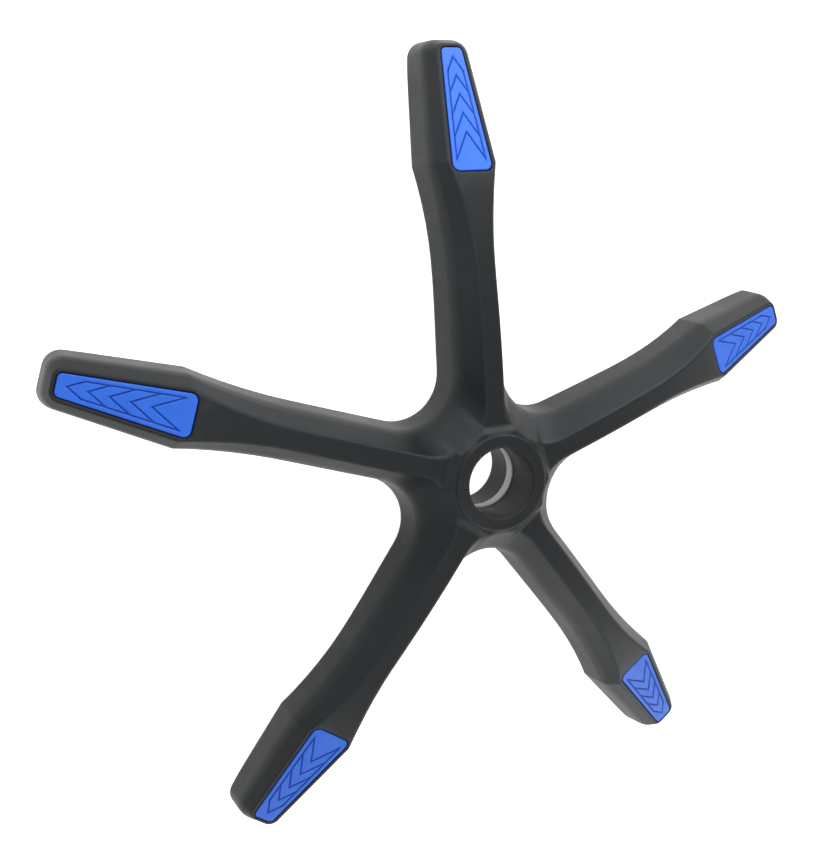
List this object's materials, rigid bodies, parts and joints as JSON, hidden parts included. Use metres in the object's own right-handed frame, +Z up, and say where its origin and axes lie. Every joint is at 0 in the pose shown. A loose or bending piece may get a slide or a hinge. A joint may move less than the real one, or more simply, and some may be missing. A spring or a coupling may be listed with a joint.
{
  "type": "office chair five star base",
  "caption": "Star-shaped chair base with drooping ribbed arms, inlaid step pads, a ringed hub bore for a gas lift and a caster socket under each arm's end.",
  "frame": {"origin": "on the hub's axis, at the middle of the steel ring's bore", "axes": "+Z up along the hub's axis; one arm points along -Y and the arms repeat every 72 degrees"},
  "size_m": [0.6148, 0.586, 0.0944],
  "materials": {
    "moulding": "satin, lightly textured glass-filled nylon",
    "steel_ring": "turned",
    "pad": "satin"
  },
  "bodies": {
    "root": {"star_base": "moulding", "hub_steel_ring": "steel_ring", "step_pad_1": "pad", "step_pad_2": "pad", "step_pad_3": "pad", "step_pad_4": "pad", "step_pad_5": "pad"}
  },
  "joints": []
}
